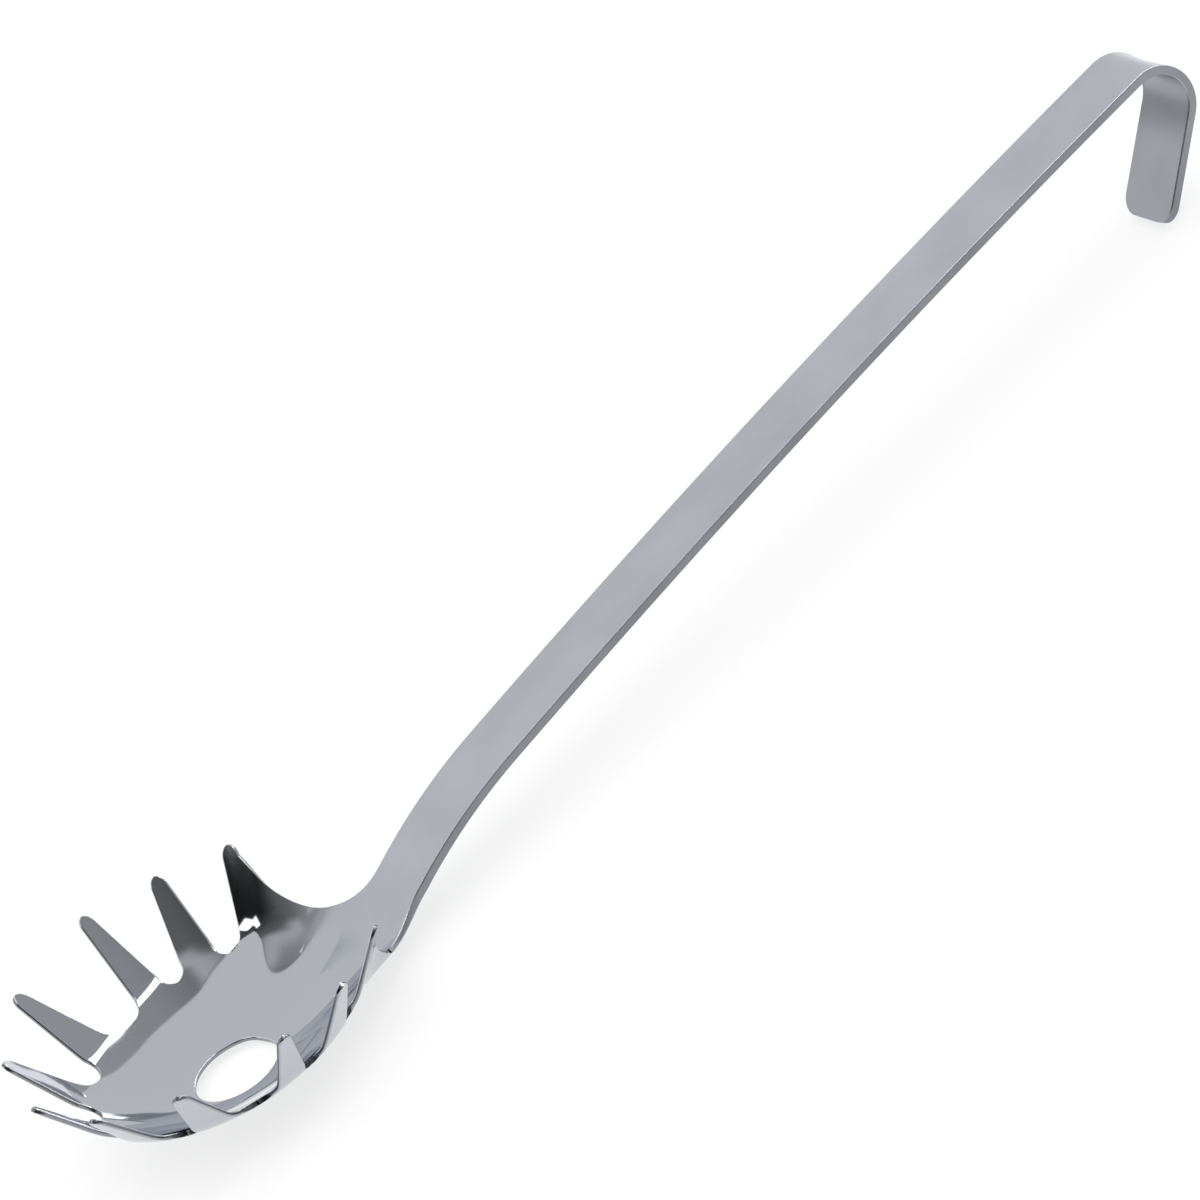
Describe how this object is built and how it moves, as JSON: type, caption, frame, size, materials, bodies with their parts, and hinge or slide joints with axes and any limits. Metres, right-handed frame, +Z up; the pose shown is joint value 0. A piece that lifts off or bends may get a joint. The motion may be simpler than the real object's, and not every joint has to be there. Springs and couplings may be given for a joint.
{
  "type": "pasta server",
  "caption": "One-piece steel pasta server: dished head with drain hole and upturned tines, curved neck and a long strap handle ending in a hook.",
  "frame": {"origin": "middle of the server's length and width at table level, lying at rest on the back of the dish and the end of the hook's tail", "axes": "+X along the server towards the hook, +Y to the right of a user who looks along the handle to the head, +Z up"},
  "size_m": [0.3826, 0.1016, 0.0394],
  "materials": {
    "polished_steel": "mirror polished stainless steel",
    "satin_steel": "fine satin stainless steel"
  },
  "bodies": {
    "root": {"bowl": "polished_steel", "tine_front": "polished_steel", "tine_right_1": "polished_steel", "tine_right_2": "polished_steel", "tine_right_3": "polished_steel", "tine_right_4": "polished_steel", "tine_right_5": "polished_steel", "tine_left_1": "polished_steel", "tine_left_2": "polished_steel", "tine_left_3": "polished_steel", "tine_left_4": "polished_steel", "tine_left_5": "polished_steel", "neck": "satin_steel", "shank": "satin_steel", "handle": "satin_steel", "hook_bend": "satin_steel", "hook_tail": "satin_steel"}
  },
  "joints": []
}
